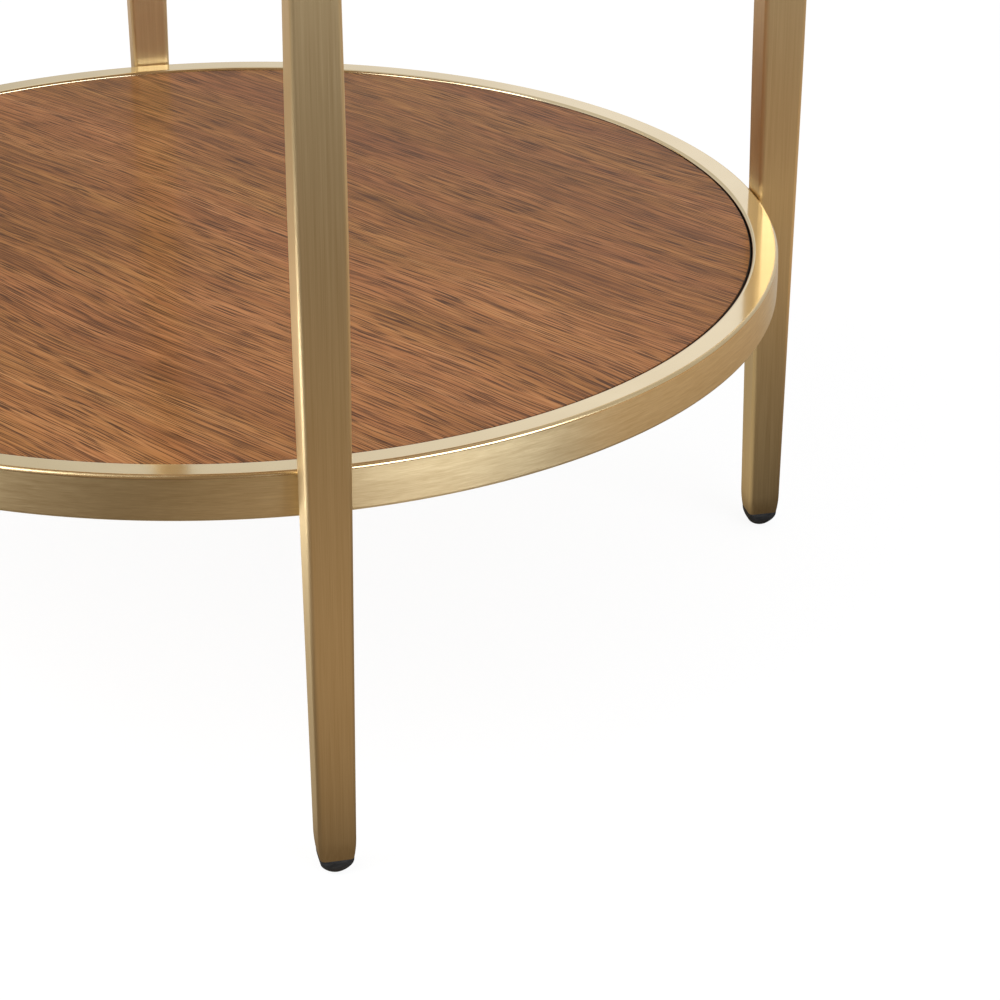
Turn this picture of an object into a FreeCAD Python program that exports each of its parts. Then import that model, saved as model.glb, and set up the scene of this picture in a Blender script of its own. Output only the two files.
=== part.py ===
"""Round side table with two tiers: spindle legs, rolled tube rings and veneered panels."""
import FreeCAD
import Part
import Sketcher
import os
import re

# Driving sizes, in millimetres.
SIZES = {
    # Overall
    "table_height": 560.0,
    "shelf_height": 177.0,
    # Rings: rectangular tube, rolled
    "ring_radius": 254.0,
    "ring_width": 12.0,
    "ring_height": 20.0,
    "ring_wall": 1.2,
    "ring_corner": 1.0,
    # Legs: square tube, thickest at the belly; the two tapers would meet at the belly side
    "leg_end_side": 14.2,
    "leg_foot_side": 15.8,
    "leg_belly_side": 20.6,
    "leg_top_side": 16.0,
    "leg_nose_length": 10.0,
    "leg_belly_height": 282.0,
    "leg_belly_length": 60.0,
    "leg_corner": 2.2,
    "leg_wall": 1.2,
    "leg_top_cap": 3.0,
    "leg_clearance": 0.1,
    # Glides, pushed into the legs' open ends
    "glide_height": 8.0,
    "glide_dome_height": 7.4,
    "glide_contact": 5.0,
    "glide_insert_length": 12.0,
    # Panels: board core with a face veneer, cut back to leave a shadow line inside the ring
    "core_gap": 0.5,
    "veneer_gap": 1.0,
    "panel_recess": 1.0,
    "veneer_thickness": 0.5,
    # Tabs that carry the panels, and the adhesive pads between them
    "tab_rise": 2.0,
    "tab_thickness": 2.0,
    "tab_length": 26.0,
    "tab_width": 30.0,
    "tab_corner": 4.0,
    "pad_thickness": 1.0,
    "pad_side": 20.0,
    "pad_inset": 3.0,
    # Studs welded to the legs, and the nuts on them inside the rings
    "stud_diameter": 6.0,
    "stud_length": 9.5,
    "nut_flats": 10.0,
    "nut_thickness": 5.0,
    # Clearances
    "fit_clearance": 0.1,
    "hole_clearance": 0.25,
    "slot_play": 0.75,
    "access_clearance": 1.2,
}

LEG_NAMES = ("front", "right", "back", "left")
TAB_NAMES = ("front_right", "back_right", "back_left", "front_left")
QUARTER_TURN = 90.0
EIGHTH_TURN = QUARTER_TURN / 2
# Bulge of an arc, as a share of its chord, before a sketch is solved.
FIRST_BULGE = 0.2

# Sizes that follow from the driving ones, as expressions of their names.
NOSE_TOP = "(glide_height + leg_nose_length)"
BELLY_LOW = "(leg_belly_height - leg_belly_length / 2)"
BELLY_HIGH = "(leg_belly_height + leg_belly_length / 2)"
LEG_CAP = "(table_height - leg_top_cap)"
SHELF_STUD = "(shelf_height - ring_height / 2)"
TOP_STUD = "(table_height - ring_height / 2)"
PANEL_SEAT = "(tab_rise + tab_thickness + pad_thickness)"
CORE_THICKNESS = f"(ring_height - panel_recess - veneer_thickness - {PANEL_SEAT})"


def side_below(height):
    """Side of the leg at a height between nose and belly."""
    rise = f"({height} - {NOSE_TOP}) / (leg_belly_height - {NOSE_TOP})"
    return f"(leg_foot_side + (leg_belly_side - leg_foot_side) * {rise})"


def side_above(height):
    """Side of the leg at a height above the belly."""
    drop = f"(table_height - {height}) / (table_height - leg_belly_height)"
    return f"(leg_top_side + (leg_belly_side - leg_top_side) * {drop})"


# A tapered leg meets the shelf ring at the ring's top edge, and the top ring at its bottom edge.
LEG_AXIS = f"(ring_radius + leg_clearance + {side_below('shelf_height')} / 2)"
TOP_RING_BOTTOM = "(table_height - ring_height)"
TOP_RING_RADIUS = f"({LEG_AXIS} - leg_clearance - {side_above(TOP_RING_BOTTOM)} / 2)"

# Each tier: outer radius and top of its ring, height of its studs, leg's side at a stud's thick end.
TIERS = {
    "shelf": {
        "radius": "ring_radius",
        "top": "shelf_height",
        "stud": SHELF_STUD,
        "leg_side": side_below(f"({SHELF_STUD} + stud_diameter / 2)"),
    },
    "top": {
        "radius": TOP_RING_RADIUS,
        "top": "table_height",
        "stud": TOP_STUD,
        "leg_side": side_above(f"({TOP_STUD} - stud_diameter / 2)"),
    },
}

doc = FreeCAD.newDocument("side_table")
sheet = doc.addObject("Spreadsheet::Sheet", "dims")
for row, (size_name, size) in enumerate(SIZES.items(), start=1):
    sheet.set(f"A{row}", size_name)
    sheet.set(f"B{row}", str(size))
    sheet.setAlias(f"B{row}", size_name)
doc.recompute()

parts = []


def from_sheet(text):
    """The expression with each size name read from the sheet."""
    names = "|".join(SIZES)
    return re.sub(rf"\b({names})\b", r"dims.\1", text)


def number(text):
    """Present value of an expression."""
    return float(sheet.evalExpression(from_sheet(text)))


def bind(target, path, text):
    target.setExpression(path, from_sheet(text))


def new_body(name):
    body = doc.addObject("PartDesign::Body", name)
    body.Label = name
    parts.append(body)
    return body


def origin_feature(body, role):
    return next(feature for feature in body.Origin.OriginFeatures if feature.Role == role)


def new_sketch(body, plane, offset="0"):
    """Sketch on one of the body's origin planes, moved along the plane's normal."""
    sketch = body.newObject("Sketcher::SketchObject", "outline")
    sketch.AttachmentSupport = [(origin_feature(body, plane), "")]
    sketch.MapMode = "FlatFace"
    sketch.Visibility = False
    bind(sketch, "AttachmentOffset.Base.z", offset)
    return sketch


def fix_point(sketch, curve, end, place):
    """Dimension one point from the sketch's origin."""
    for kind, axis, text in (("DistanceX", -2, place[0]), ("DistanceY", -1, place[1])):
        if text == "0":
            sketch.addConstraint(Sketcher.Constraint("PointOnObject", curve, end, axis))
            continue
        index = sketch.addConstraint(Sketcher.Constraint(kind, -1, 1, curve, end, number(text)))
        bind(sketch, f"Constraints[{index}]", text)


def add_outline(sketch, points, arcs=(), smooth=()):
    """Closed outline, counter-clockwise through the points.

    arcs lists the sides that bulge outwards, smooth the corners where one side runs on into the next.
    """
    corners = [FreeCAD.Vector(number(x), number(y), 0) for x, y in points]
    sides = []
    for index, start in enumerate(corners):
        end = corners[(index + 1) % len(corners)]
        curve = Part.LineSegment(start, end)
        if index in arcs:
            chord = end - start
            middle = (start + end) / 2 + FreeCAD.Vector(chord.y, -chord.x, 0) * FIRST_BULGE
            curve = Part.Arc(start, middle, end)
        sides.append(sketch.addGeometry(curve, False))
    for index, side in enumerate(sides):
        kind = "Tangent" if index in smooth else "Coincident"
        sketch.addConstraint(Sketcher.Constraint(kind, sides[index - 1], 2, side, 1))
        fix_point(sketch, side, 1, points[index])


def add_circle(sketch, place, radius):
    centre = FreeCAD.Vector(number(place[0]), number(place[1]), 0)
    circle = sketch.addGeometry(Part.Circle(centre, FreeCAD.Vector(0, 0, 1), number(radius)), False)
    fix_point(sketch, circle, 3, place)
    index = sketch.addConstraint(Sketcher.Constraint("Radius", circle, number(radius)))
    bind(sketch, f"Constraints[{index}]", radius)


def box(left, low, right, high):
    return [(left, low), (right, low), (right, high), (left, high)]


def upright_box(centre, half_width, half_height):
    """Box about a point of the sketch's vertical axis."""
    return box(f"-{half_width}", f"{centre} - {half_height}", half_width, f"{centre} + {half_height}")


def square(half):
    return upright_box("0", half, half)


def hexagon(centre, flats):
    """Hexagon with two upright flats, about a point of the sketch's vertical axis."""
    flat = f"{flats} / 2"
    tip = f"{flats} / sqrt(3)"
    rise = f"{flats} / sqrt(12)"
    return [
        ("0", f"{centre} - {tip}"), (flat, f"{centre} - {rise}"), (flat, f"{centre} + {rise}"),
        ("0", f"{centre} + {tip}"), (f"-{flat}", f"{centre} + {rise}"), (f"-{flat}", f"{centre} - {rise}"),
    ]


def add_rounded_square(sketch, side):
    half = f"({side} / 2)"
    short = f"({half} - leg_corner)"
    add_outline(sketch, [
        (short, f"-{half}"), (half, f"-{short}"), (half, short), (short, half),
        (f"-{short}", half), (f"-{half}", short), (f"-{half}", f"-{short}"), (f"-{short}", f"-{half}"),
    ], arcs=(0, 2, 4, 6), smooth=(1, 3, 5, 7))


def add_feature(body, kind, sketch, **settings):
    feature = body.newObject("PartDesign::" + kind, kind.lower())
    feature.Profile = sketch
    for name, setting in settings.items():
        setattr(feature, name, setting)
    return feature


def pad(body, sketch, length, **settings):
    feature = add_feature(body, "Pad", sketch, **settings)
    bind(feature, "Length", length)
    return feature


def pocket(body, sketch, length, **settings):
    """Cut that has to take material away."""
    doc.recompute()
    before = body.Shape.Volume
    feature = add_feature(body, "Pocket", sketch, **settings)
    bind(feature, "Length", length)
    doc.recompute()
    if not body.Shape.Volume < before:
        raise ValueError(f"a cut in {body.Label} takes nothing away")
    return feature


def around_table(body, *features):
    """Repeat features at each quarter turn about the table's axis."""
    pattern = body.newObject("PartDesign::PolarPattern", "around")
    pattern.Originals = list(features)
    pattern.Axis = (origin_feature(body, "Z_Axis"), [""])
    pattern.Angle = 360.0
    pattern.Occurrences = len(LEG_NAMES)
    body.Tip = pattern


def turn_to_leg(body, index):
    """Place a body that is built about a leg's axis at one of the four legs."""
    body.Placement.Rotation = FreeCAD.Rotation(FreeCAD.Vector(0, 0, 1), QUARTER_TURN * index)
    x_sign = (0, 1, 0, -1)[index]
    y_sign = (-1, 0, 1, 0)[index]
    bind(body, "Placement.Base.x", f"{x_sign} * {LEG_AXIS}")
    bind(body, "Placement.Base.y", f"{y_sign} * {LEG_AXIS}")


def turn_between_legs(body, index=0):
    turn = EIGHTH_TURN + QUARTER_TURN * index
    body.Placement.Rotation = FreeCAD.Rotation(FreeCAD.Vector(0, 0, 1), turn)


def leg_sections():
    """Heights and sides up the leg: drawn-in nose, a taper to the belly and a taper to the top."""
    return [
        ("glide_height", "leg_end_side"),
        (NOSE_TOP, "leg_foot_side"),
        (BELLY_LOW, side_below(BELLY_LOW)),
        (BELLY_HIGH, side_above(BELLY_HIGH)),
        ("table_height", "leg_top_side"),
    ]


def cavity_sections():
    """The same for the tube's inside, from the open foot to the cap."""
    return leg_sections()[:-1] + [(LEG_CAP, side_above(LEG_CAP))]


def make_leg(index):
    """Spindle of square tube, lofted through rounded sections, open at the foot and capped at the top."""
    body = new_body("leg_" + LEG_NAMES[index])
    turn_to_leg(body, index)
    outside = []
    for height, side in leg_sections():
        section = new_sketch(body, "XY_Plane", height)
        add_rounded_square(section, side)
        outside.append(section)
    add_feature(body, "AdditiveLoft", outside[0], Sections=outside[1:], Ruled=True)
    inside = []
    for height, side in cavity_sections():
        section = new_sketch(body, "XY_Plane", height)
        add_outline(section, square(f"({side} / 2 - leg_wall)"))
        inside.append(section)
    doc.recompute()
    add_feature(body, "SubtractiveLoft", inside[0], Sections=inside[1:], Ruled=True)


def make_glide(index):
    """Domed foot that carries on the leg's end, with a square insert inside the tube."""
    body = new_body("glide_" + LEG_NAMES[index])
    turn_to_leg(body, index)
    plan = new_sketch(body, "XY_Plane")
    add_rounded_square(plan, "leg_end_side")
    pad(body, plan, "glide_height")
    insert = new_sketch(body, "XY_Plane", "glide_height")
    add_outline(insert, square("(leg_end_side / 2 - leg_wall - fit_clearance)"))
    pad(body, insert, "glide_insert_length")
    for plane in ("XZ_Plane", "YZ_Plane"):
        around_dome = new_sketch(body, plane)
        add_around_dome(around_dome)
        pocket(body, around_dome, "2 * leg_end_side", SideType="Symmetric")


def add_around_dome(sketch):
    """Frame about the dome's outline, seen from one side: what the dome leaves away from a block."""
    flat = "glide_contact / 2"
    edge = "leg_end_side / 2"
    top = "(glide_height + glide_insert_length + fit_clearance)"
    add_outline(sketch, box("-leg_end_side", "-glide_height", "leg_end_side", top + " + fit_clearance"))
    add_outline(sketch, [
        (f"-{flat}", "0"), (flat, "0"), (edge, "glide_dome_height"),
        (edge, top), (f"-{edge}", top), (f"-{edge}", "glide_dome_height"),
    ], arcs=(1, 5), smooth=(2, 5))


def make_ring(tier_name, tier):
    """Rolled tube with, at each leg, a slot in the outer wall for the stud and a window behind it."""
    body = new_body(tier_name + "_ring")
    outer, top = tier["radius"], tier["top"]
    inner = f"({outer} - ring_width)"
    low = f"({top} - ring_height)"
    section = new_sketch(body, "XZ_Plane")
    add_outline(section, [
        (inner, low), (outer, low), (outer, f"{top} - ring_corner"),
        (f"{outer} - ring_corner", top), (inner, top),
    ])
    add_outline(section, box(f"{inner} + ring_wall", f"{low} + ring_wall",
                             f"{outer} - ring_wall", f"{top} - ring_wall"))
    add_feature(body, "Revolution", section, ReferenceAxis=(section, ["V_Axis"]), Angle=360.0)
    hole = new_sketch(body, "XZ_Plane")
    add_outline(hole, upright_box(tier["stud"], "(stud_diameter / 2 + hole_clearance)",
                                  "(stud_diameter / 2 + slot_play)"))
    stud_slot = pocket(body, hole, f"{outer} + ring_width", Reversed=True)
    opening = new_sketch(body, "XZ_Plane")
    half = "(nut_flats / sqrt(3) + access_clearance)"
    add_outline(opening, upright_box(tier["stud"], half, half))
    window = pocket(body, opening, f"{outer} - ring_width / 2", Reversed=True)
    around_table(body, stud_slot, window)


def make_leg_fasteners(tier_name, tier):
    """Studs welded to the legs' inner faces, and the nuts inside the tube that draw them to the ring."""
    studs = new_body(tier_name + "_leg_studs")
    root = new_sketch(studs, "XZ_Plane", f"{LEG_AXIS} - {tier['leg_side']} / 2")
    add_circle(root, ("0", tier["stud"]), "stud_diameter / 2")
    around_table(studs, pad(studs, root, "stud_length", Reversed=True))
    nuts = new_body(tier_name + "_stud_nuts")
    face = new_sketch(nuts, "XZ_Plane", f"sqrt(({tier['radius']} - ring_wall) ^ 2 - (nut_flats / 2) ^ 2)")
    add_outline(face, hexagon(tier["stud"], "nut_flats"))
    add_circle(face, ("0", tier["stud"]), "(stud_diameter / 2 + fit_clearance)")
    around_table(nuts, pad(nuts, face, "nut_thickness", Reversed=True))


def make_panel(tier_name, tier):
    """Board core under a face veneer."""
    bottom = f"({tier['top']} - ring_height + {PANEL_SEAT})"
    for layer, low, thickness in (("core", bottom, CORE_THICKNESS),
                                  ("veneer", f"{bottom} + {CORE_THICKNESS}", "veneer_thickness")):
        body = new_body(f"{tier_name}_{layer}")
        plan = new_sketch(body, "XY_Plane", low)
        add_circle(plan, ("0", "0"), f"({tier['radius']} - ring_width - {layer}_gap)")
        pad(body, plan, thickness)


def make_tab(tier_name, tier, index):
    """Flat lug welded inside the ring, shaped to the ring's inner wall."""
    body = new_body(f"{tier_name}_tab_{TAB_NAMES[index]}")
    turn_between_legs(body, index)
    wall = f"({tier['radius']} - ring_width)"
    end = f"({wall} - tab_length)"
    low = f"({tier['top']} - ring_height + tab_rise)"
    half = "tab_width / 2"
    plan = new_sketch(body, "XY_Plane", low)
    add_outline(plan, [
        (f"-{half}", f"-{wall}"), (half, f"-{wall}"),
        (half, f"-{end} - tab_corner"), (f"{half} - tab_corner", f"-{end}"),
        (f"-{half} + tab_corner", f"-{end}"), (f"-{half}", f"-{end} - tab_corner"),
    ])
    pad(body, plan, "tab_thickness")
    beyond_wall = new_sketch(body, "XY_Plane", low)
    add_circle(beyond_wall, ("0", "0"), wall)
    add_circle(beyond_wall, ("0", "0"), tier["radius"])
    pocket(body, beyond_wall, "tab_thickness", Reversed=True)


def make_pads(tier_name, tier):
    """Adhesive pads on the tabs, which hold the panel from below."""
    body = new_body(tier_name + "_pads")
    turn_between_legs(body)
    plan = new_sketch(body, "XY_Plane", f"{tier['top']} - ring_height + tab_rise + tab_thickness")
    centre = f"-({tier['radius']} - ring_width - pad_inset - pad_side / 2)"
    add_outline(plan, upright_box(centre, "(pad_side / 2)", "pad_side / 2"))
    around_table(body, pad(body, plan, "pad_thickness"))


def check_document():
    """Stop if an object failed or a piece is not whole."""
    doc.recompute()
    for item in doc.Objects:
        if "Invalid" in item.State or "Error" in item.State:
            raise RuntimeError(f"{item.Name} failed: {item.State}")
    for piece in parts:
        if piece.Shape.isNull() or not piece.Shape.isValid():
            raise RuntimeError(f"{piece.Label} has no valid shape")


def write_parts():
    os.makedirs("parts", exist_ok=True)
    for piece in parts:
        piece.Shape.exportStep(f"parts/{piece.Label}.step")
        print(f"{piece.Label}: {len(piece.Shape.Solids)} solid(s), {piece.Shape.Volume:.0f} mm3")


for leg_index in range(len(LEG_NAMES)):
    make_leg(leg_index)
    make_glide(leg_index)
for tier_name, tier in TIERS.items():
    make_ring(tier_name, tier)
    make_leg_fasteners(tier_name, tier)
    make_panel(tier_name, tier)
    for tab_index in range(len(TAB_NAMES)):
        make_tab(tier_name, tier, tab_index)
    make_pads(tier_name, tier)
check_document()
write_parts()
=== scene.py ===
import math

import bpy
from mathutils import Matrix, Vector


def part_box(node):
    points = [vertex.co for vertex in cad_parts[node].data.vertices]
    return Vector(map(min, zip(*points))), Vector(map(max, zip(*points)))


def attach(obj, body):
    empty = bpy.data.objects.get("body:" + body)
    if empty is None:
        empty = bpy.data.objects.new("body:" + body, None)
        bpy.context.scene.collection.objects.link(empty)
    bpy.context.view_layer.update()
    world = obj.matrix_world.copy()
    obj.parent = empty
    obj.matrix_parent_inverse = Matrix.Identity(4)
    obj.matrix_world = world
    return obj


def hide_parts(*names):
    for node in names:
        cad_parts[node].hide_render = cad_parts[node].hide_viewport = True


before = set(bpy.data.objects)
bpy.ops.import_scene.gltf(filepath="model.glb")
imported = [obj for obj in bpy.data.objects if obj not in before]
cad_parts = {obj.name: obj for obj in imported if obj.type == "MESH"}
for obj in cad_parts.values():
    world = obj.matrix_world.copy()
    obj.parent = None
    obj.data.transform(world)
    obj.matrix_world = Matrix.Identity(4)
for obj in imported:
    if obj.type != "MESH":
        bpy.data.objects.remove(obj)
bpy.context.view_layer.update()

# Lengths are in metres. Legs, glides and rings keep the CAD pieces' places and outer sizes,
# but the leg's belly is longer, and the dome and the ring's corners are rounder.
LEGS = {"front": -90, "right": 0, "back": 90, "left": 180}
TIERS = ("shelf", "top")
TAB_PLACES = ("front_right", "back_right", "back_left", "front_left")

LEG_AXIS_RADIUS = 0.263445
LEG_CORNER = 0.0022
LEG_FOOT_Z = 0.008
LEG_NOSE_TOP_Z = 0.018
LEG_BELLY_START_Z = 0.222
LEG_BELLY_END_Z = 0.342
LEG_END_SIDE = 0.0142
LEG_FOOT_SIDE = 0.0158
LEG_BELLY_START_SIDE = 0.01951
LEG_BELLY_APEX_SIDE = 0.0206
LEG_BELLY_END_SIDE = 0.01961
LEG_TOP_SIDE = 0.016
LEG_TOP_EASE = 0.0005

LEG_NOSE_STEPS = 10
LEG_TAPER_STEPS = 12
LEG_BELLY_STEPS = 16
LEG_EASE_STEPS = 4
# Half the height over which a leg's slope is measured.
SLOPE_REACH = 0.0001
# Just under 1, so that the slope stays finite where the eased edge ends flat.
EASE_TURN = 0.999

GLIDE_CONTACT = 0.003
GLIDE_DOME_Z = 0.0076
GLIDE_DOME_STEPS = 10
# The dome's normal starts this far below level, at the floor, and turns up almost to level.
GLIDE_DOME_START = math.radians(89.9)
GLIDE_DOME_TURN = 0.998

RING_WIDTH = 0.012
RING_OUTER_CORNER = 0.0017
RING_INNER_CORNER = 0.0017
RING_CROWN = 0.00018
RING_FACE_STEPS = 6
RING_STEPS = 288
CORNER_STEPS = 7
# Radius that turns an angle into a length along the ring, for its finish.
RING_FINISH_RADIUS = 0.25

GRAIN_ANGLE = math.radians(-57)
# How far the walnut's grain wanders sideways.
GRAIN_DRIFT = 0.035

# Default roughness of a noise, and the value that a noise varies round.
NOISE_ROUGHNESS = 0.55
NOISE_MEAN = 0.5
# A surface faces down where its normal's height is below this.
FACING_DOWN = -0.5

FLOOR_HALF = 40
# Distance from the table's axis that counts as 1 in the tones that metal mirrors.
FLOOR_FADE = 2.0
# The floor is seen with this glow and this diffuse level, and lights the table as paper.
FLOOR_GLOW = 0.91
FLOOR_SHADE = 0.11
FLOOR_PAPER = 0.8

CAMERA_PLACE = (-0.1771, -1.3229, 0.6968)
CAMERA_TURN = (math.radians(63.751), 0, math.radians(-13.085))
CAMERA_LENS = 111.6
CAMERA_SENSOR = 36
CAMERA_NEAR = 0.01

# Places of the Mix node's factor and colour sockets among those for other data types.
MIX_FACTOR = 0
MIX_FIRST = 6
MIX_SECOND = 7
MIX_RESULT = 2


def fill_socket(tree, socket, value):
    """Links a socket to another one, or sets its value."""
    if isinstance(value, bpy.types.NodeSocket):
        tree.links.new(value, socket)
    else:
        socket.default_value = value


def fill_sockets(tree, node, inputs):
    for name, value in inputs.items():
        fill_socket(tree, node.inputs[name], value)


def add(tree, kind, inputs=None, **settings):
    """A new node, with its sockets linked or set."""
    node = tree.nodes.new(kind)
    for name, value in settings.items():
        setattr(node, name, value)
    fill_sockets(tree, node, inputs or {})
    return node


def calc(tree, operation, first, second):
    return add(tree, "ShaderNodeMath", {0: first, 1: second}, operation=operation).outputs[0]


def weighted(tree, first, first_weight, second, second_weight):
    """The weighted sum of two values."""
    return calc(tree, "ADD", calc(tree, "MULTIPLY", first, first_weight),
                calc(tree, "MULTIPLY", second, second_weight))


def grey(level):
    return (level, level, level, 1)


def rgb(red, green, blue):
    return (red, green, blue, 1)


def warm(level):
    """The warm brown of the room round the table, at a brightness."""
    return rgb(level, 0.73 * level, 0.47 * level)


def ramp(tree, factor, stops):
    """A colour ramp through (place, colour) stops."""
    node = add(tree, "ShaderNodeValToRGB", {"Fac": factor})
    elements = node.color_ramp.elements
    while len(elements) < len(stops):
        elements.new(1)
    for element, (place, colour) in zip(elements, stops):
        element.position = place
        element.color = colour
    return node.outputs["Color"]


def noise(tree, vector, scale, detail, roughness=NOISE_ROUGHNESS):
    node = add(tree, "ShaderNodeTexNoise",
               {"Vector": vector, "Scale": scale, "Detail": detail, "Roughness": roughness})
    return node.outputs[0]


def stretched(tree, vector, scales, angle=0.0):
    node = add(tree, "ShaderNodeMapping",
               {"Vector": vector, "Rotation": (0, 0, angle), "Scale": scales})
    return node.outputs["Vector"]


def streaks_along(tree, vector, scales, detail, roughness=NOISE_ROUGHNESS):
    """Noise with its own scale along each axis."""
    return noise(tree, stretched(tree, vector, scales), 1.0, detail, roughness)


def span(tree, value, low, high):
    """A 0 to 1 value brought into a range."""
    node = add(tree, "ShaderNodeMapRange", {"Value": value, "To Min": low, "To Max": high})
    return node.outputs["Result"]


def bump(tree, height, strength, distance):
    node = add(tree, "ShaderNodeBump",
               {"Height": height, "Strength": strength, "Distance": distance})
    return node.outputs["Normal"]


def blend(tree, factor, first, second, blend_type="MIX"):
    node = add(tree, "ShaderNodeMix", data_type="RGBA", blend_type=blend_type)
    for place, value in ((MIX_FACTOR, factor), (MIX_FIRST, first), (MIX_SECOND, second)):
        fill_socket(tree, node.inputs[place], value)
    return node.outputs[MIX_RESULT]


def round_tangent(tree):
    """Tangents that run round the upright axis."""
    return add(tree, "ShaderNodeTangent", direction_type="RADIAL", axis="Z").outputs[0]


def new_material(name):
    """A node material, its tree, its surface shader and the object's own coordinates."""
    material = bpy.data.materials.new(name)
    material.use_nodes = True
    tree = material.node_tree
    shader = tree.nodes["Principled BSDF"]
    coords = add(tree, "ShaderNodeTexCoord").outputs["Object"]
    return material, tree, shader, coords


def leg_brass():
    """Brass finish brushed along the leg."""
    material, tree, shader, coords = new_material("leg_brass")
    streaks = streaks_along(tree, coords, (900, 900, 7), 4)
    hairs = streaks_along(tree, coords, (3600, 3600, 22), 2)
    clouds = streaks_along(tree, coords, (30, 30, 6), 2)
    tone = weighted(tree, streaks, 0.55, hairs, 0.45)
    colour = ramp(tree, tone, [(0.30, rgb(0.70, 0.53, 0.285)), (0.70, rgb(0.86, 0.69, 0.41))])
    worn = blend(tree, span(tree, clouds, 0.0, 0.35), colour, rgb(0.78, 0.60, 0.335))
    fill_sockets(tree, shader, {
        "Base Color": worn,
        "Metallic": 1.0,
        "Roughness": span(tree, tone, 0.38, 0.54),
        "Anisotropic": 0.78,
        "Tangent": round_tangent(tree),
        "Normal": bump(tree, tone, 0.12, 0.0002),
        "Coat Weight": 0.15,
        "Coat Roughness": 0.12,
    })
    return material


def ring_coordinates(tree, coords):
    """Length along the ring, distance from its axis and height."""
    place = add(tree, "ShaderNodeSeparateXYZ", {"Vector": coords})
    turn = calc(tree, "ARCTAN2", place.outputs["Y"], place.outputs["X"])
    along = calc(tree, "MULTIPLY", turn, RING_FINISH_RADIUS)
    flat = add(tree, "ShaderNodeCombineXYZ", {"X": place.outputs["X"], "Y": place.outputs["Y"]})
    radius = add(tree, "ShaderNodeVectorMath", {0: flat.outputs[0]}, operation="LENGTH")
    return add(tree, "ShaderNodeCombineXYZ",
               {"X": along, "Y": radius.outputs["Value"], "Z": place.outputs["Z"]}).outputs[0]


def ring_side_brass():
    """Brass finish brushed round the ring."""
    material, tree, shader, coords = new_material("ring_side_brass")
    wrapped = ring_coordinates(tree, coords)
    streaks = streaks_along(tree, wrapped, (60, 900, 900), 4)
    hairs = streaks_along(tree, wrapped, (160, 3400, 3400), 2)
    tone = weighted(tree, streaks, 0.45, hairs, 0.55)
    colour = ramp(tree, tone, [(0.30, rgb(0.69, 0.53, 0.29)), (0.70, rgb(0.87, 0.71, 0.43))])
    fill_sockets(tree, shader, {
        "Base Color": colour,
        "Metallic": 1.0,
        "Roughness": span(tree, tone, 0.30, 0.50),
        "Anisotropic": 0.75,
        "Anisotropic Rotation": 0.25,
        "Tangent": round_tangent(tree),
        "Normal": bump(tree, tone, 0.15, 0.0002),
        "Coat Weight": 0.15,
        "Coat Roughness": 0.12,
    })
    return material


def ring_top_brass():
    """Polished brass, with the faint lines that polishing leaves."""
    material, tree, shader, coords = new_material("ring_top_brass")
    wrapped = ring_coordinates(tree, coords)
    lines = streaks_along(tree, wrapped, (40, 2400, 2400), 2)
    clouds = noise(tree, coords, 18.0, 3)
    colour = ramp(tree, clouds, [(0.35, rgb(0.74, 0.60, 0.375)), (0.65, rgb(0.79, 0.65, 0.42))])
    fill_sockets(tree, shader, {
        "Base Color": colour,
        "Metallic": 1.0,
        "Roughness": span(tree, lines, 0.06, 0.15),
        "Normal": bump(tree, lines, 0.03, 0.0001),
        "Coat Weight": 0.4,
        "Coat Roughness": 0.05,
    })
    return material


def ring_edge_brass():
    """The ring's rounded outer edge, where brushing and polish meet."""
    material, tree, shader, coords = new_material("ring_edge_brass")
    wrapped = ring_coordinates(tree, coords)
    lines = streaks_along(tree, wrapped, (50, 2600, 2600), 3)
    colour = ramp(tree, lines, [(0.30, rgb(0.74, 0.55, 0.29)), (0.70, rgb(0.85, 0.67, 0.39))])
    fill_sockets(tree, shader, {
        "Base Color": colour,
        "Metallic": 1.0,
        "Roughness": span(tree, lines, 0.17, 0.33),
        "Normal": bump(tree, lines, 0.05, 0.0001),
        "Coat Weight": 0.2,
        "Coat Roughness": 0.08,
    })
    return material


def ring_inner_brass_painted_shade():
    """The ring's inner wall, dull, and painted dark as the shade in the narrow gap behind the panel's edge.
    """
    material, tree, shader, coords = new_material("ring_inner_brass_painted_shade")
    wrapped = ring_coordinates(tree, coords)
    lines = streaks_along(tree, wrapped, (60, 1200, 1200), 3)
    clouds = noise(tree, coords, 60.0, 3)
    # Near-black colour: painted shade of the gap between ring and panel.
    colour = ramp(tree, clouds, [(0.35, rgb(0.060, 0.038, 0.020)), (0.65, rgb(0.110, 0.072, 0.038))])
    fill_sockets(tree, shader, {
        "Base Color": colour,
        "Metallic": 0.6,
        "Roughness": span(tree, lines, 0.55, 0.75),
        "Normal": bump(tree, lines, 0.10, 0.0002),
    })
    return material


def grain_coordinates(tree, coords):
    """Length along the walnut's wandering grain, distance across it and height."""
    turned = stretched(tree, coords, (1, 1, 1), -GRAIN_ANGLE)
    drift = streaks_along(tree, turned, (3.0, 7.0, 1), 2)
    place = add(tree, "ShaderNodeSeparateXYZ", {"Vector": turned})
    across = calc(tree, "ADD", place.outputs["Y"], calc(tree, "MULTIPLY", drift, GRAIN_DRIFT))
    return add(tree, "ShaderNodeCombineXYZ",
               {"X": place.outputs["X"], "Y": across, "Z": place.outputs["Z"]}).outputs[0]


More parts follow.
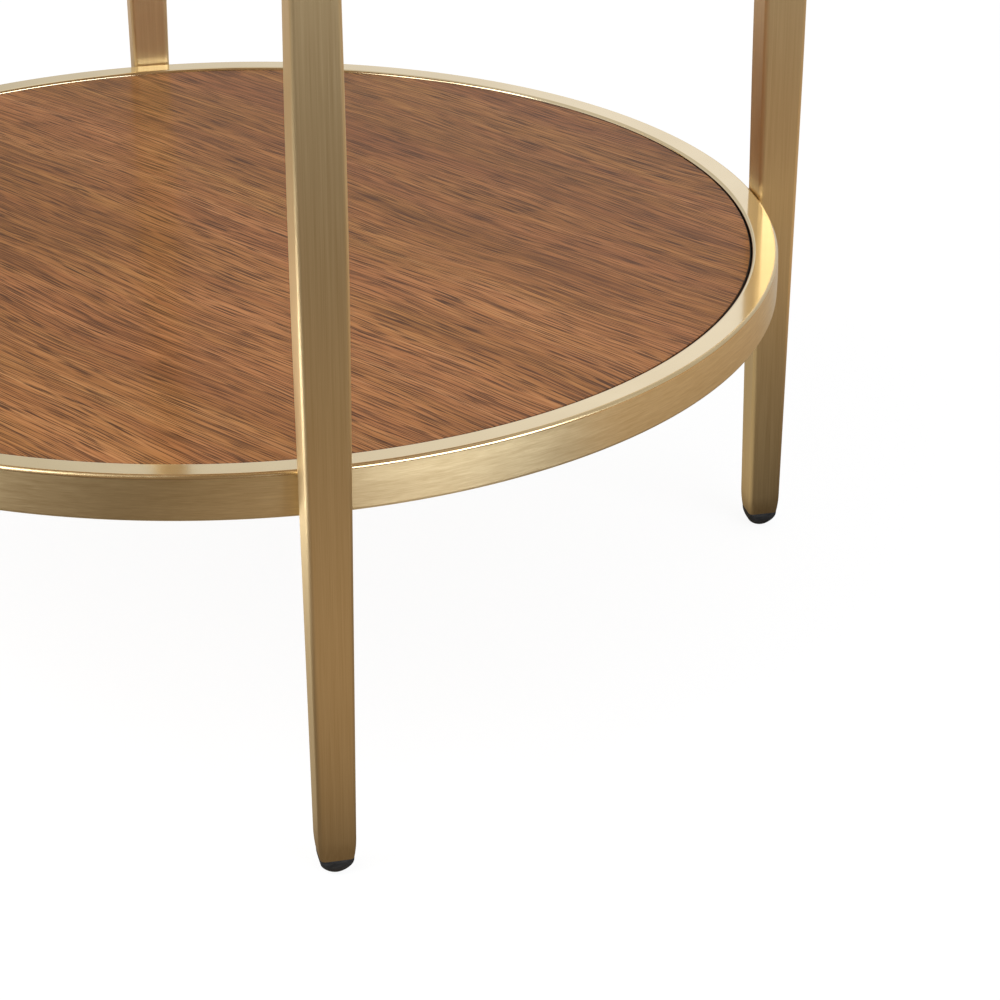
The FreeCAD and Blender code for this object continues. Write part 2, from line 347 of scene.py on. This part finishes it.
def walnut():
    """Walnut veneer under satin lacquer: figure, growth bands, fibres and open pores along one grain."""
    material, tree, shader, coords = new_material("walnut_veneer")
    grain = grain_coordinates(tree, coords)
    # Each layer's scales, detail and weight, from the broad figure to single fibres.
    layers = (
        ((2.5, 22, 3), 2, 0.36),
        ((5, 90, 3), 2, 0.34),
        ((9, 300, 3), 1, 0.24),
        ((10, 700, 3), 1, 0.18),
        ((22, 1650, 3), 1, 0.40),
    )
    tone = NOISE_MEAN
    for scales, detail, weight in layers:
        ripple = calc(tree, "SUBTRACT", streaks_along(tree, grain, scales, detail), NOISE_MEAN)
        tone = calc(tree, "ADD", calc(tree, "MULTIPLY", ripple, weight), tone)
    colour = ramp(tree, tone, [
        (0.24, rgb(0.158, 0.056, 0.0170)),
        (0.42, rgb(0.300, 0.116, 0.0365)),
        (0.56, rgb(0.424, 0.178, 0.0595)),
        (0.78, rgb(0.590, 0.290, 0.112)),
    ])
    cast = streaks_along(tree, grain, (5, 40, 3), 2)
    tint = ramp(tree, cast, [(0.36, rgb(0.96, 1.0, 0.84)), (0.64, rgb(1.0, 0.97, 1.0))])
    colour = blend(tree, 1.0, colour, tint, "MULTIPLY")
    lines = streaks_along(tree, grain, (10, 1200, 7), 1)
    line_mask = ramp(tree, lines, [(0.55, grey(0)), (0.65, grey(0.70))])
    dashes = streaks_along(tree, grain, (36, 1650, 11), 1)
    dash_mask = ramp(tree, dashes, [(0.515, grey(0)), (0.60, grey(0.95))])
    pore_mask = calc(tree, "MAXIMUM", line_mask, dash_mask)
    dark = blend(tree, pore_mask, colour, rgb(0.085, 0.032, 0.012))
    relief = calc(tree, "SUBTRACT", tone, pore_mask)
    fill_sockets(tree, shader, {
        "Base Color": dark,
        "Roughness": span(tree, tone, 0.26, 0.40),
        "Specular IOR Level": 0.02,
        "Normal": bump(tree, relief, 0.08, 0.0002),
        "Coat Weight": 0.14,
        "Coat Roughness": 0.12,
    })
    return material


def black_plastic():
    """Moulded black plastic with a fine spark-eroded grain."""
    material, tree, shader, coords = new_material("glide_plastic")
    grain = noise(tree, coords, 2600.0, 2)
    scuffs = streaks_along(tree, coords, (260, 260, 700), 3)
    colour = ramp(tree, scuffs, [(0.40, rgb(0.010, 0.010, 0.011)), (0.75, rgb(0.026, 0.025, 0.024))])
    fill_sockets(tree, shader, {
        "Base Color": colour,
        "Roughness": span(tree, scuffs, 0.42, 0.66),
        "Normal": bump(tree, grain, 0.20, 0.0002),
    })
    return material


def board():
    """Fibre board, bare underneath and near-black on its rim and top: painted shade for the gap round the
    panel.
    """
    material, tree, shader, coords = new_material("board_core")
    fibres = streaks_along(tree, coords, (420, 420, 900), 5, 0.7)
    patches = noise(tree, coords, 14.0, 2)
    tone = weighted(tree, fibres, 0.7, patches, 0.3)
    bare = ramp(tree, tone, [(0.35, rgb(0.36, 0.225, 0.115)), (0.65, rgb(0.54, 0.375, 0.215))])
    # Every face but the underside is near-black: painted shade of the narrow gap.
    painted_gap_shade = ramp(tree, tone, [(0.35, rgb(0.006, 0.005, 0.004)), (0.65, rgb(0.016, 0.012, 0.010))])
    normal = add(tree, "ShaderNodeNewGeometry").outputs["Normal"]
    facing = add(tree, "ShaderNodeSeparateXYZ", {"Vector": normal})
    underneath = calc(tree, "LESS_THAN", facing.outputs["Z"], FACING_DOWN)
    fill_sockets(tree, shader, {
        "Base Color": blend(tree, underneath, painted_gap_shade, bare),
        "Roughness": span(tree, fibres, 0.62, 0.86),
        "Normal": bump(tree, fibres, 0.25, 0.0003),
    })
    return material


def tab_steel():
    """Steel plated with the ring, dull and slightly clouded."""
    material, tree, shader, coords = new_material("tab_steel")
    rolled = streaks_along(tree, coords, (120, 1500, 600), 3)
    clouds = noise(tree, coords, 90.0, 3)
    colour = ramp(tree, clouds, [(0.35, rgb(0.52, 0.32, 0.13)), (0.65, rgb(0.66, 0.43, 0.19))])
    fill_sockets(tree, shader, {
        "Base Color": colour,
        "Metallic": 1.0,
        "Roughness": span(tree, rolled, 0.36, 0.58),
        "Normal": bump(tree, rolled, 0.10, 0.0002),
    })
    return material


def zinc_steel():
    """Zinc-plated fasteners with their bluish clouding."""
    material, tree, shader, coords = new_material("zinc_steel")
    clouds = noise(tree, coords, 320.0, 4)
    colour = ramp(tree, clouds, [(0.35, rgb(0.44, 0.46, 0.50)), (0.65, rgb(0.62, 0.62, 0.60))])
    fill_sockets(tree, shader, {
        "Base Color": colour,
        "Metallic": 1.0,
        "Roughness": span(tree, clouds, 0.28, 0.48),
        "Normal": bump(tree, clouds, 0.08, 0.0002),
    })
    return material


def foam():
    """Grey foam tape with open cells."""
    material, tree, shader, coords = new_material("foam_pad")
    cells = add(tree, "ShaderNodeTexVoronoi", {"Vector": coords, "Scale": 1400.0}).outputs["Distance"]
    colour = ramp(tree, cells, [(0.10, rgb(0.035, 0.035, 0.037)), (0.60, rgb(0.110, 0.110, 0.115))])
    fill_sockets(tree, shader, {
        "Base Color": colour,
        "Roughness": span(tree, cells, 0.80, 0.95),
        "Normal": bump(tree, cells, 0.35, 0.0003),
    })
    return material


def mesh_object(name, points, normals, faces, materials, face_materials=None):
    """A smooth mesh with exact normals, riding with the table."""
    mesh = bpy.data.meshes.new(name)
    mesh.from_pydata(points, [], faces)
    for material in materials:
        mesh.materials.append(material)
    if face_materials:
        mesh.polygons.foreach_set("material_index", face_materials)
    mesh.polygons.foreach_set("use_smooth", [True] * len(faces))
    mesh.update()
    mesh.normals_split_custom_set_from_vertices(normals)
    piece = bpy.data.objects.new(name, mesh)
    bpy.context.collection.objects.link(piece)
    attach(piece, "root")
    return piece


def rounded_square(side, corner):
    """Points and outward directions round a square with rounded corners."""
    flat = side / 2 - corner
    for quarter in range(4):
        middle = math.radians(45 + 90 * quarter)
        centre = Vector((math.cos(middle), math.sin(middle))) * flat * math.sqrt(2)
        for step in range(CORNER_STEPS + 1):
            angle = math.radians(90 * quarter + 90 * step / CORNER_STEPS)
            outward = Vector((math.cos(angle), math.sin(angle)))
            yield centre + outward * corner, outward


def loft(sections, turn):
    """Points, normals and faces of a closed loft through (height, side, corner, slope) sections."""
    axis = Vector((math.cos(turn), math.sin(turn)))
    across = Vector((-axis.y, axis.x))
    origin = axis * LEG_AXIS_RADIUS
    points = []
    normals = []
    for height, side, corner, slope in sections:
        for point, outward in rounded_square(side, corner):
            place = origin + axis * point.x + across * point.y
            facing = axis * outward.x + across * outward.y
            points.append((place.x, place.y, height))
            normals.append(Vector((facing.x, facing.y, slope)).normalized())
    count = 4 * (CORNER_STEPS + 1)
    faces = []
    for section in range(len(sections) - 1):
        for step in range(count):
            first = section * count + step
            second = section * count + (step + 1) % count
            faces.append((first, second, second + count, first + count))
    last = len(points) - count
    for start, ends, facing in ((0, reversed(range(count)), -1), (last, range(count), 1)):
        base = len(points)
        points.extend(points[start:start + count])
        normals.extend([Vector((0, 0, facing))] * count)
        faces.append(tuple(base + step for step in ends))
    return points, normals, faces


def leg_side(height):
    """The leg's width over flats at a height."""
    if height < LEG_NOSE_TOP_Z:
        left = (LEG_NOSE_TOP_Z - height) / (LEG_NOSE_TOP_Z - LEG_FOOT_Z)
        return LEG_FOOT_SIDE - (LEG_FOOT_SIDE - LEG_END_SIDE) * left ** 2
    if height < LEG_BELLY_START_Z:
        part = (height - LEG_NOSE_TOP_Z) / (LEG_BELLY_START_Z - LEG_NOSE_TOP_Z)
        return LEG_FOOT_SIDE + (LEG_BELLY_START_SIDE - LEG_FOOT_SIDE) * part
    if height < LEG_BELLY_END_Z:
        part = (height - LEG_BELLY_START_Z) / (LEG_BELLY_END_Z - LEG_BELLY_START_Z)
        rest = 1 - part
        return (LEG_BELLY_START_SIDE * rest ** 2 + 2 * LEG_BELLY_APEX_SIDE * rest * part
                + LEG_BELLY_END_SIDE * part ** 2)
    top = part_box("leg_front")[1][2]
    part = (height - LEG_BELLY_END_Z) / (top - LEG_BELLY_END_Z)
    return LEG_BELLY_END_SIDE + (LEG_TOP_SIDE - LEG_BELLY_END_SIDE) * part


def steps(low, high, count):
    """Evenly spaced values from a low one, without the high one."""
    return [low + (high - low) * step / count for step in range(count)]


def make_leg(name, turn, material):
    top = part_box("leg_" + name)[1][2]
    ease_z = top - LEG_TOP_EASE
    heights = steps(LEG_FOOT_Z, LEG_NOSE_TOP_Z, LEG_NOSE_STEPS)
    heights += steps(LEG_NOSE_TOP_Z, LEG_BELLY_START_Z, LEG_TAPER_STEPS)
    heights += steps(LEG_BELLY_START_Z, LEG_BELLY_END_Z, LEG_BELLY_STEPS)
    heights += steps(LEG_BELLY_END_Z, ease_z, LEG_TAPER_STEPS)
    heights.append(ease_z)
    sections = []
    for height in heights:
        # A face leans by half of what the width loses.
        slope = (leg_side(height - SLOPE_REACH) - leg_side(height + SLOPE_REACH)) / (4 * SLOPE_REACH)
        sections.append((height, leg_side(height), LEG_CORNER, slope))
    for step in range(1, LEG_EASE_STEPS + 1):
        angle = math.radians(90 * step / LEG_EASE_STEPS)
        inset = LEG_TOP_EASE * (1 - math.cos(angle))
        lift = LEG_TOP_EASE * (math.sin(angle) - 1)
        slope = math.tan(angle * EASE_TURN)
        sections.append((top + lift, leg_side(top) - 2 * inset, LEG_CORNER - inset, slope))
    piece = mesh_object("brushed_leg_" + name, *loft(sections, turn), [material])
    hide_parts("leg_" + name)


def make_glide(name, turn, material):
    sections = []
    for step in range(GLIDE_DOME_STEPS + 1):
        angle = math.radians(90 * step / GLIDE_DOME_STEPS)
        side = GLIDE_CONTACT + (LEG_END_SIDE - GLIDE_CONTACT) * math.sin(angle)
        slope = -math.tan(GLIDE_DOME_START - angle * GLIDE_DOME_TURN)
        corner = side / 2 + (LEG_CORNER - side / 2) * math.sin(angle) ** 3
        sections.append((GLIDE_DOME_Z * (1 - math.cos(angle)), side, corner, slope))
    sections.append((LEG_FOOT_Z, LEG_END_SIDE, LEG_CORNER, 0.0))
    piece = mesh_object("moulded_glide_" + name, *loft(sections, turn), [material])
    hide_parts("glide_" + name)


def ring_section(tier):
    """(radius, height, normal, finish) points round the ring's section, from its outer foot.

    A point's finish is that of the surface from it to the next point: an index of the ring's materials.
    """
    low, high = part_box(tier + "_ring")
    outer = high[0]
    inner = outer - RING_WIDTH
    middle = (low[2] + high[2]) / 2
    half = (high[2] - low[2]) / 2 - RING_OUTER_CORNER
    side, top, edge, inside = range(4)
    section = []

    def turn_corner(radius, height, corner, start, finish, last_finish):
        inward = -1 if radius > inner + corner else 1
        down = 1 if height < middle else -1
        for step in range(CORNER_STEPS + 1):
            angle = math.radians(start + 90 * step / CORNER_STEPS)
            outward = Vector((math.cos(angle), math.sin(angle)))
            section.append((radius + inward * corner + outward.x * corner,
                            height + down * corner + outward.y * corner,
                            outward, finish if step < CORNER_STEPS else last_finish))

    rim = outer - RING_CROWN
    turn_corner(rim, low[2], RING_OUTER_CORNER, -90, side, side)
    for step in range(1, RING_FACE_STEPS):
        place = 2 * step / RING_FACE_STEPS - 1
        bulge = RING_CROWN * (1 - place ** 2)
        tilt = 2 * RING_CROWN * place / half
        section.append((rim + bulge, middle + half * place, Vector((1, tilt)).normalized(), side))
    turn_corner(rim, high[2], RING_OUTER_CORNER, 0, edge, top)
    turn_corner(inner, high[2], RING_INNER_CORNER, 90, top, inside)
    turn_corner(inner, low[2], RING_INNER_CORNER, 180, inside, side)
    return section


def make_ring(tier, materials):
    section = ring_section(tier)
    count = len(section)
    points = []
    normals = []
    for step in range(RING_STEPS):
        turn = math.radians(360 * step / RING_STEPS)
        outward = Vector((math.cos(turn), math.sin(turn), 0))
        for radius, height, facing, _ in section:
            points.append(outward * radius + Vector((0, 0, height)))
            normals.append(outward * facing.x + Vector((0, 0, facing.y)))
    faces = []
    finishes = []
    for step in range(RING_STEPS):
        after = (step + 1) % RING_STEPS
        for place in range(count):
            beyond = (place + 1) % count
            faces.append((step * count + place, after * count + place,
                          after * count + beyond, step * count + beyond))
            finishes.append(section[place][3])
    piece = mesh_object(tier + "_rolled_ring", points, normals, faces, materials, finishes)
    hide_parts(tier + "_ring")


def dress_node(node, material):
    """Gives a carried-over CAD piece its material."""
    slots = bpy.data.objects[node].data.materials
    slots.clear()
    slots.append(material)


def build_table():
    brass = leg_brass()
    plastic = black_plastic()
    for name, degrees in LEGS.items():
        make_leg(name, math.radians(degrees), brass)
        make_glide(name, math.radians(degrees), plastic)
    ring_finishes = [ring_side_brass(), ring_top_brass(), ring_edge_brass(), ring_inner_brass_painted_shade()]
    carried = {
        "veneer": walnut(),
        "core": board(),
        "pads": foam(),
        "leg_studs": zinc_steel(),
    }
    carried["stud_nuts"] = carried["leg_studs"]
    tab = tab_steel()
    for tier in TIERS:
        make_ring(tier, ring_finishes)
        for piece, material in carried.items():
            dress_node(tier + "_" + piece, material)
        for place in TAB_PLACES:
            dress_node(tier + "_tab_" + place, tab)


def turn_factor(tree, vector):
    """Where a direction points round the table: 0.5 to the front, more towards the right."""
    place = add(tree, "ShaderNodeSeparateXYZ", {"Vector": vector})
    forward = calc(tree, "MULTIPLY", place.outputs["Y"], -1.0)
    turn = calc(tree, "ARCTAN2", place.outputs["X"], forward)
    return calc(tree, "ADD", calc(tree, "DIVIDE", turn, 2 * math.pi), 0.5)


def by_ray(tree, seen, mirrored, lighting):
    """One shader for what is seen directly, one for what gloss mirrors and one for what lights the table."""
    path = add(tree, "ShaderNodeLightPath").outputs
    direct = calc(tree, "MAXIMUM", path["Is Camera Ray"], path["Is Transmission Ray"])
    indirect = add(tree, "ShaderNodeMixShader",
                   {0: path["Is Glossy Ray"], 1: lighting.outputs[0], 2: mirrored.outputs[0]})
    shown = add(tree, "ShaderNodeMixShader", {0: direct, 1: indirect.outputs[0], 2: seen.outputs[0]})
    return shown.outputs[0]


def make_world():
    """A white backdrop; metal mirrors walls that are brown in front and pale to the sides and behind."""
    world = bpy.data.worlds.new("studio")
    bpy.context.scene.world = world
    world.use_nodes = True
    tree = world.node_tree
    tree.nodes.clear()
    direction = add(tree, "ShaderNodeTexCoord").outputs["Generated"]
    turn = turn_factor(tree, direction)
    walls = ramp(tree, turn, [
        (0.00, rgb(0.62, 0.60, 0.53)), (0.10, grey(0.70)), (0.20, grey(0.75)), (0.33, grey(0.75)),
        (0.39, warm(0.28)), (0.48, warm(0.22)), (0.54, warm(0.30)), (0.65, warm(0.42)),
        (0.71, grey(0.55)), (0.79, grey(0.55)), (0.86, grey(0.58)), (0.93, grey(0.90)),
        (0.955, grey(1.0)), (1.00, rgb(0.62, 0.60, 0.53)),
    ])
    daylight = ramp(tree, turn, [(0.0, grey(0.55)), (0.5, grey(1.0)), (1.0, grey(0.55))])
    lighting = add(tree, "ShaderNodeBackground", {"Color": daylight, "Strength": 1.0})
    mirrored = add(tree, "ShaderNodeBackground", {"Color": walls, "Strength": 1.0})
    backdrop = add(tree, "ShaderNodeBackground", {"Color": grey(1), "Strength": 1.0})
    add(tree, "ShaderNodeOutputWorld", {"Surface": by_ray(tree, backdrop, mirrored, lighting)})


def floor_painted_light(tree):
    """The floor as metal mirrors it: painted light and shade, glowing in tones that change round the table
    and with distance from it.

    A band just outside the table is darker, as painted shade of the table on the floor.
    """
    place = add(tree, "ShaderNodeNewGeometry").outputs["Position"]
    turn = turn_factor(tree, place)
    # The floor under the table is dimmer as gloss sees it: painted shade.
    under_table_shade = rgb(0.55, 0.48, 0.36)
    near = ramp(tree, turn, [
        (0.00, rgb(0.60, 0.57, 0.50)), (0.33, grey(0.64)), (0.38, warm(0.30)), (0.43, warm(0.22)),
        (0.50, warm(0.48)), (0.57, warm(0.48)), (0.60, warm(0.26)), (0.63, warm(0.22)),
        (0.74, warm(0.22)), (0.80, warm(0.40)), (0.87, grey(0.60)), (1.00, grey(0.62)),
    ])
    middle = ramp(tree, turn, [
        (0.00, warm(0.30)), (0.08, warm(0.30)), (0.18, grey(0.62)), (0.33, grey(0.70)),
        (0.38, warm(0.17)), (0.44, warm(0.13)), (0.485, warm(0.40)), (0.57, warm(0.38)),
        (0.60, warm(0.14)), (0.632, warm(0.14)), (0.650, warm(0.88)), (0.70, warm(0.84)),
        (0.75, warm(0.72)), (0.80, warm(0.54)), (0.87, grey(0.60)), (0.95, grey(0.55)),
        (1.00, warm(0.30)),
    ])
    distant = ramp(tree, turn, [
        (0.00, grey(1.20)), (0.02, grey(1.20)), (0.05, warm(0.60)), (0.15, warm(0.55)),
        (0.33, grey(0.42)), (0.38, warm(0.16)), (0.44, warm(0.14)), (0.485, warm(0.17)),
        (0.60, warm(0.15)), (0.655, warm(0.34)), (0.80, warm(0.45)), (0.87, grey(0.60)),
        (0.96, grey(0.80)), (1.00, grey(1.20)),
    ])
    reach = add(tree, "ShaderNodeVectorMath", {0: place}, operation="LENGTH").outputs["Value"]
    part = calc(tree, "DIVIDE", reach, FLOOR_FADE)
    sweep = under_table_shade
    for start, end, tones in ((0.112, 0.130, near), (0.24, 0.27, middle), (0.33, 0.50, distant)):
        sweep = blend(tree, ramp(tree, part, [(start, grey(0)), (end, grey(1))]), sweep, tones)
    # Darker band just outside the table's feet: painted contact shade.
    painted_contact_shade = ramp(tree, part, [
        (0.112, grey(1.0)), (0.131, grey(0.33)), (0.145, grey(0.38)), (0.168, grey(0.66)),
        (0.21, grey(0.92)), (0.24, grey(1.0)),
    ])
    return blend(tree, 1.0, sweep, painted_contact_shade, "MULTIPLY")


def make_floor():
    """A white floor that keeps the table's shadow."""
    mesh = bpy.data.meshes.new("floor")
    corners = [(FLOOR_HALF * x, FLOOR_HALF * y, 0) for x, y in ((-1, -1), (1, -1), (1, 1), (-1, 1))]
    mesh.from_pydata(corners, [], [(0, 1, 2, 3)])
    floor = bpy.data.objects.new("floor", mesh)
    bpy.context.collection.objects.link(floor)
    material = bpy.data.materials.new("floor_white")
    mesh.materials.append(material)
    material.use_nodes = True
    tree = material.node_tree
    tree.nodes.clear()
    # Gloss sees the floor glowing in these painted tones, as reflections of a lit studio round the table.
    mirrored = add(tree, "ShaderNodeEmission", {"Color": floor_painted_light(tree), "Strength": 1.0})
    paper = add(tree, "ShaderNodeBsdfDiffuse", {"Color": grey(FLOOR_PAPER)})
    glow = add(tree, "ShaderNodeEmission", {"Color": grey(1), "Strength": FLOOR_GLOW})
    shade = add(tree, "ShaderNodeBsdfDiffuse", {"Color": grey(FLOOR_SHADE)})
    lit = add(tree, "ShaderNodeAddShader", {0: glow.outputs[0], 1: shade.outputs[0]})
    add(tree, "ShaderNodeOutputMaterial", {"Surface": by_ray(tree, lit, mirrored, paper)})


def make_lamp(name, place, target, width, height, power, colour=(1, 1, 1)):
    """A soft rectangular lamp, in watts, turned from its place to a target."""
    lamp = bpy.data.lights.new(name, "AREA")
    lamp.shape = "RECTANGLE"
    lamp.size = width
    lamp.size_y = height
    lamp.energy = power
    lamp.color = colour
    holder = bpy.data.objects.new(name, lamp)
    holder.location = place
    holder.rotation_euler = (Vector(target) - Vector(place)).to_track_quat("-Z", "Y").to_euler()
    holder.visible_camera = False
    bpy.context.collection.objects.link(holder)


def make_camera():
    camera = bpy.data.cameras.new("camera")
    camera.lens = CAMERA_LENS
    camera.sensor_width = CAMERA_SENSOR
    camera.clip_start = CAMERA_NEAR
    holder = bpy.data.objects.new("camera", camera)
    holder.location = CAMERA_PLACE
    holder.rotation_euler = CAMERA_TURN
    bpy.context.collection.objects.link(holder)
    bpy.context.scene.camera = holder


def light_studio():
    bpy.context.scene.view_settings.view_transform = "Standard"
    make_world()
    make_floor()
    make_lamp("softbox_right", place=(1.019, -1.562, 0.62), target=(0, 0, 0.62),
              width=1.40, height=0.64, power=21.5, colour=(0.90, 1.0, 1.12))
    make_lamp("softbox_left", place=(-1.5, -0.5, 1.5), target=(0, 0, 0.2),
              width=1.4, height=1.0, power=18)
    # The strip is turned away from the left leg's foot and lights the front leg's side.
    make_lamp("strip_left", place=(-0.42, -0.16, 0.03), target=(0.13, -0.96, 0.28),
              width=0.3, height=0.05, power=0.85)
    make_camera()


build_table()
light_studio()
